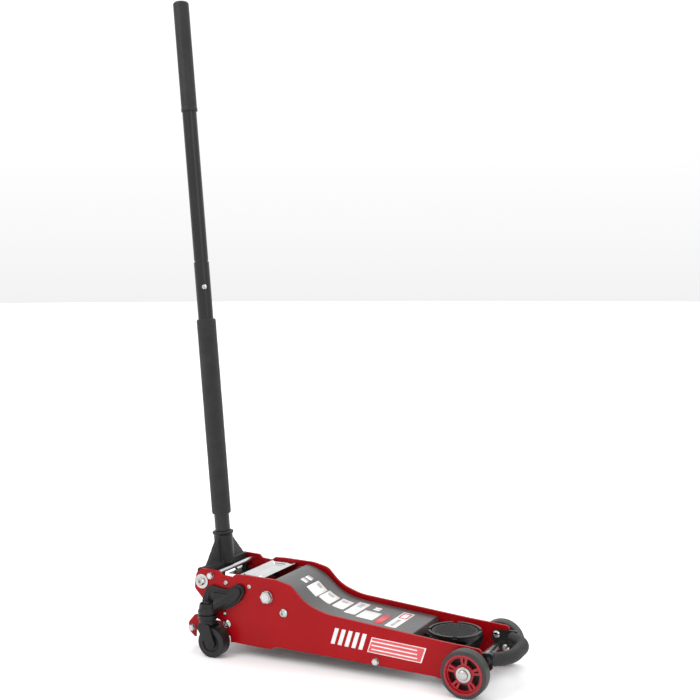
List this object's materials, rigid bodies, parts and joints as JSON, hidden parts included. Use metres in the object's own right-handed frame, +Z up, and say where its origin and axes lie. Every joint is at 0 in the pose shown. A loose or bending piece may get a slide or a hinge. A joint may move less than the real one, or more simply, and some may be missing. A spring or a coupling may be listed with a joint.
{
  "type": "trolley jack",
  "caption": "Low-profile hydraulic trolley jack with a long lift arm, round saddle, front rollers, swivel casters, U-shaped bumper and an upright two-piece pump handle.",
  "frame": {"origin": "on the ground under the middle of the overall box, jack lowered and handle upright", "axes": "+X towards the saddle and bumper, +Y to the left side seen from the handle end, +Z up"},
  "size_m": [0.7769, 0.2484, 1.3504],
  "materials": {
    "red_paint": "gloss",
    "black_paint": "satin",
    "arm_grey": "satin metallic",
    "black_cast": "painted, lightly rough",
    "cast_grey": "as cast",
    "zinc": "bright zinc plate",
    "steel": "ground",
    "bright_cover": "bright pressed sheet",
    "rubber_black": "matte",
    "tyre_grey": "satin",
    "red_rim": "gloss",
    "caster_plastic": "satin",
    "foam": "fine closed-cell foam"
  },
  "bodies": {
    "chassis": {"side_plate_left": "red_paint", "side_plate_right": "red_paint", "tie_rods": "zinc", "tie_rod_nuts": "zinc", "arm_shaft": "zinc", "arm_shaft_nuts": "zinc", "level_link_studs": "zinc", "yoke_pivot_bolts": "zinc", "front_axle": "steel", "front_axle_caps": "zinc", "bumper_bar": "black_paint", "bumper_sleeve": "rubber_black", "bumper_bolts": "zinc", "power_unit_block": "cast_grey", "reservoir_shell": "black_paint", "ram_cylinder": "steel", "pump_barrel": "steel", "power_unit_bolts": "zinc", "cover_plate": "bright_cover", "cover_screws": "zinc", "rear_shroud": "black_paint", "caster_guards": "red_paint", "caster_bracket_left": "black_cast", "caster_bracket_right": "black_cast", "caster_bracket_bolts": "black_paint", "caster_kingpins": "steel", "pump_spring": "steel", "arm_return_springs": "steel"},
    "lift_arm": {"arm_plate_left": "arm_grey", "arm_plate_right": "arm_grey", "arm_cover": "arm_grey", "arm_hub_tube": "arm_grey", "ram_crank": "arm_grey", "arm_cross_tube": "arm_grey", "carrier_pivot_pin": "zinc"},
    "carrier": {"saddle_carrier": "black_cast"},
    "saddle": {"saddle_cup": "cast_grey", "saddle_pad": "rubber_black"},
    "level_links": {"level_link_left": "black_paint", "level_link_right": "black_paint", "level_link_pin": "zinc"},
    "ram": {"ram_rod": "steel", "ram_head": "steel"},
    "plunger": {"pump_plunger": "steel"},
    "valve": {"release_valve": "steel"},
    "yoke": {"yoke_casting": "black_cast", "pump_roller": "steel"},
    "handle": {"handle_lower_tube": "black_paint", "handle_foam_sleeve": "foam", "handle_lock_screw": "zinc"},
    "handle_upper": {"handle_upper_tube": "black_paint", "handle_grip": "foam"},
    "fork_left": {"caster_fork_left": "black_paint"},
    "fork_right": {"caster_fork_right": "black_paint"},
    "caster_left": {"caster_wheel_left": "caster_plastic"},
    "caster_right": {"caster_wheel_right": "caster_plastic"},
    "front_wheel_left": {"front_rim_left": "red_rim", "front_tyre_left": "tyre_grey"},
    "front_wheel_right": {"front_rim_right": "red_rim", "front_tyre_right": "tyre_grey"}
  },
  "joints": [
    {"name": "arm_lift", "type": "hinge", "parent": "chassis", "child": "lift_arm", "pos_m": [-0.123, 0, 0.131], "axis": [0, -1, 0], "range_deg": [0, 60], "stiffness_Nm_per_rad": 6, "springref_deg": -28.65, "deforming": ["arm_return_springs"]},
    {"name": "carrier_level", "type": "hinge", "parent": "lift_arm", "child": "carrier", "pos_m": [0.222, 0, 0.058], "axis": [0, -1, 0], "range_deg": [-60, 0]},
    {"name": "saddle_spin", "type": "hinge", "parent": "carrier", "child": "saddle", "pos_m": [0.248, 0, 0.07], "axis": [0, 0, 1], "continuous": true},
    {"name": "level_link_swing", "type": "hinge", "parent": "chassis", "child": "level_links", "pos_m": [-0.085, 0, 0.103], "axis": [0, -1, 0], "range_deg": [0, 60]},
    {"name": "ram_slide", "type": "slide", "parent": "chassis", "child": "ram", "axis": [1, 0, 0], "range_m": [0, 0.045]},
    {"name": "yoke_pump", "type": "hinge", "parent": "chassis", "child": "yoke", "pos_m": [-0.278, 0, 0.146], "axis": [0, -1, 0], "range_deg": [0, 60], "stiffness_Nm_per_rad": 16, "springref_deg": -20.05, "deforming": ["pump_spring"]},
    {"name": "plunger_slide", "type": "slide", "parent": "chassis", "child": "plunger", "axis": [1, 0, 0], "range_m": [0, 0.022]},
    {"name": "handle_twist", "type": "hinge", "parent": "yoke", "child": "handle", "pos_m": [-0.28029, 0, 0.24615], "axis": [-0.0827, 0, 0.9966], "range_deg": [0, 90]},
    {"name": "valve_turn", "type": "hinge", "parent": "chassis", "child": "valve", "pos_m": [-0.236, 0.026, 0.12], "axis": [0, 0, 1], "range_deg": [0, 90]},
    {"name": "handle_extend", "type": "slide", "parent": "handle", "child": "handle_upper", "axis": [-0.0827, 0, 0.9966], "range_m": [0, 0.07]},
    {"name": "caster_swivel_left", "type": "hinge", "parent": "chassis", "child": "fork_left", "pos_m": [-0.2525, 0.104, 0.09], "axis": [0, 0, 1], "continuous": true},
    {"name": "caster_roll_left", "type": "hinge", "parent": "fork_left", "child": "caster_left", "pos_m": [-0.237, 0.104, 0.0305], "axis": [0, 1, 0], "continuous": true},
    {"name": "front_wheel_roll_left", "type": "hinge", "parent": "chassis", "child": "front_wheel_left", "pos_m": [0.308, 0.1045, 0.045], "axis": [0, 1, 0], "continuous": true},
    {"name": "caster_swivel_right", "type": "hinge", "parent": "chassis", "child": "fork_right", "pos_m": [-0.2525, -0.104, 0.09], "axis": [0, 0, 1], "continuous": true},
    {"name": "caster_roll_right", "type": "hinge", "parent": "fork_right", "child": "caster_right", "pos_m": [-0.237, -0.104, 0.0305], "axis": [0, 1, 0], "continuous": true},
    {"name": "front_wheel_roll_right", "type": "hinge", "parent": "chassis", "child": "front_wheel_right", "pos_m": [0.308, -0.1045, 0.045], "axis": [0, 1, 0], "continuous": true}
  ],
  "couplings": [
    {"joint": "carrier_level", "follows": "arm_lift", "ratio": -1},
    {"joint": "level_link_swing", "follows": "arm_lift", "ratio": 1},
    {"joint": "ram_slide", "follows": "arm_lift", "m_per_rad": 0.042972},
    {"joint": "plunger_slide", "follows": "yoke_pump", "m_per_rad": 0.021008},
    {"joint": "valve_turn", "follows": "handle_twist", "ratio": 1}
  ]
}
